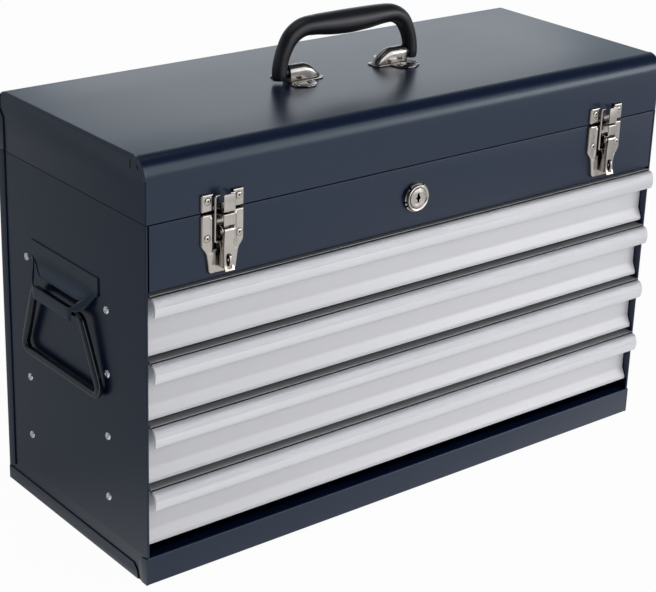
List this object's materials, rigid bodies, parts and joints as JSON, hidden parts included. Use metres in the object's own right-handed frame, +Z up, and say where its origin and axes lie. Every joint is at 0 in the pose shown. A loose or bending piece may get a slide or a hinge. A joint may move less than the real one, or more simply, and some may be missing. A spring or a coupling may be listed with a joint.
{
  "type": "portable tool box with drawers",
  "caption": "Steel tool box with a hinged lid over a top tray, shallow drawers on ball runners, draw latches, a cam lock, a carry handle on top and a drop handle at each side.",
  "frame": {"origin": "centre of the base's underside, midway between the side panels and between the front and back sheets", "axes": "+X to the right seen from the front, +Y from the front to the back, +Z up"},
  "size_m": [0.5548, 0.2322, 0.3937],
  "materials": {
    "powder_coat": "satin",
    "silver_coat": "satin",
    "bare_aluminium": "satin",
    "nickel_plate": "polished",
    "zinc_steel": "satin",
    "black_plastic": "gloss"
  },
  "bodies": {
    "cabinet": {"side_left": "powder_coat", "side_right": "powder_coat", "back_panel": "powder_coat", "base_pan": "powder_coat", "lock_panel": "powder_coat", "tray_floor": "powder_coat", "outer_runners": "zinc_steel", "runner_rivets": "zinc_steel", "hinge_body_leaf": "powder_coat", "hinge_pin": "zinc_steel", "latch_base_left": "nickel_plate", "latch_base_right": "nickel_plate", "latch_pins": "nickel_plate", "latch_rivets": "nickel_plate", "bail_bracket_left": "powder_coat", "bail_bracket_right": "powder_coat", "lock_housing": "nickel_plate", "lock_nut": "zinc_steel"},
    "lid": {"lid_shell": "powder_coat", "hinge_lid_leaf": "powder_coat", "lid_catch": "powder_coat", "keeper_left": "nickel_plate", "keeper_right": "nickel_plate", "keeper_rivets": "nickel_plate", "saddle_left": "nickel_plate", "saddle_right": "nickel_plate", "saddle_rivets": "nickel_plate"},
    "carry_handle": {"grip": "black_plastic"},
    "left_handle": {"bail_left": "black_plastic"},
    "right_handle": {"bail_right": "black_plastic"},
    "left_lever": {"lever_left": "nickel_plate"},
    "right_lever": {"lever_right": "nickel_plate"},
    "left_wire": {"wire_loop_left": "nickel_plate"},
    "right_wire": {"wire_loop_right": "nickel_plate"},
    "lock": {"lock_plug": "nickel_plate", "lock_cam": "zinc_steel", "cam_screw": "zinc_steel"},
    "drawer_1": {"pan_1": "powder_coat", "face_1": "silver_coat", "pull_1": "bare_aluminium", "slide_1": "zinc_steel"},
    "cages_1": {"cage_1": "zinc_steel"},
    "drawer_2": {"pan_2": "powder_coat", "face_2": "silver_coat", "pull_2": "bare_aluminium", "slide_2": "zinc_steel"},
    "cages_2": {"cage_2": "zinc_steel"},
    "drawer_3": {"pan_3": "powder_coat", "face_3": "silver_coat", "pull_3": "bare_aluminium", "slide_3": "zinc_steel"},
    "cages_3": {"cage_3": "zinc_steel"},
    "drawer_4": {"pan_4": "powder_coat", "face_4": "silver_coat", "pull_4": "bare_aluminium", "slide_4": "zinc_steel"},
    "cages_4": {"cage_4": "zinc_steel"}
  },
  "joints": [
    {"name": "lid_hinge", "type": "hinge", "parent": "cabinet", "child": "lid", "pos_m": [0, 0.1091, 0.2934], "axis": [-1, 0, 0], "range_deg": [0, 100]},
    {"name": "carry_handle_swing", "type": "hinge", "parent": "lid", "child": "carry_handle", "pos_m": [0, 0, 0.35], "axis": [1, 0, 0], "range_deg": [-80, 80]},
    {"name": "left_handle_swing", "type": "hinge", "parent": "cabinet", "child": "left_handle", "pos_m": [-0.271, 0.0075, 0.197], "axis": [0, 1, 0], "range_deg": [0, 90]},
    {"name": "right_handle_swing", "type": "hinge", "parent": "cabinet", "child": "right_handle", "pos_m": [0.271, 0.0075, 0.197], "axis": [0, -1, 0], "range_deg": [0, 90]},
    {"name": "left_lever_swing", "type": "hinge", "parent": "cabinet", "child": "left_lever", "pos_m": [-0.199, -0.1146, 0.2798], "axis": [-1, 0, 0], "range_deg": [0, 100]},
    {"name": "left_wire_swing", "type": "hinge", "parent": "left_lever", "child": "left_wire", "pos_m": [-0.199, -0.111, 0.271], "axis": [-1, 0, 0], "range_deg": [-74, 0]},
    {"name": "right_lever_swing", "type": "hinge", "parent": "cabinet", "child": "right_lever", "pos_m": [0.199, -0.1146, 0.2798], "axis": [-1, 0, 0], "range_deg": [0, 100]},
    {"name": "right_wire_swing", "type": "hinge", "parent": "right_lever", "child": "right_wire", "pos_m": [0.199, -0.111, 0.271], "axis": [-1, 0, 0], "range_deg": [-74, 0]},
    {"name": "lock_turn", "type": "hinge", "parent": "cabinet", "child": "lock", "pos_m": [-0.012, -0.1, 0.2665], "axis": [0, -1, 0], "range_deg": [0, 90]},
    {"name": "drawer_1_slide", "type": "slide", "parent": "cabinet", "child": "drawer_1", "axis": [0, -1, 0], "range_m": [0, 0.15]},
    {"name": "cages_1_roll", "type": "slide", "parent": "cabinet", "child": "cages_1", "axis": [0, -1, 0], "range_m": [0, 0.075]},
    {"name": "drawer_2_slide", "type": "slide", "parent": "cabinet", "child": "drawer_2", "axis": [0, -1, 0], "range_m": [0, 0.15]},
    {"name": "cages_2_roll", "type": "slide", "parent": "cabinet", "child": "cages_2", "axis": [0, -1, 0], "range_m": [0, 0.075]},
    {"name": "drawer_3_slide", "type": "slide", "parent": "cabinet", "child": "drawer_3", "axis": [0, -1, 0], "range_m": [0, 0.15]},
    {"name": "cages_3_roll", "type": "slide", "parent": "cabinet", "child": "cages_3", "axis": [0, -1, 0], "range_m": [0, 0.075]},
    {"name": "drawer_4_slide", "type": "slide", "parent": "cabinet", "child": "drawer_4", "axis": [0, -1, 0], "range_m": [0, 0.15]},
    {"name": "cages_4_roll", "type": "slide", "parent": "cabinet", "child": "cages_4", "axis": [0, -1, 0], "range_m": [0, 0.075]}
  ],
  "couplings": [
    {"joint": "left_wire_swing", "follows": "left_lever_swing", "ratio": -0.74},
    {"joint": "right_wire_swing", "follows": "right_lever_swing", "ratio": -0.74},
    {"joint": "cages_1_roll", "follows": "drawer_1_slide", "ratio": 0.5},
    {"joint": "cages_2_roll", "follows": "drawer_2_slide", "ratio": 0.5},
    {"joint": "cages_3_roll", "follows": "drawer_3_slide", "ratio": 0.5},
    {"joint": "cages_4_roll", "follows": "drawer_4_slide", "ratio": 0.5}
  ]
}
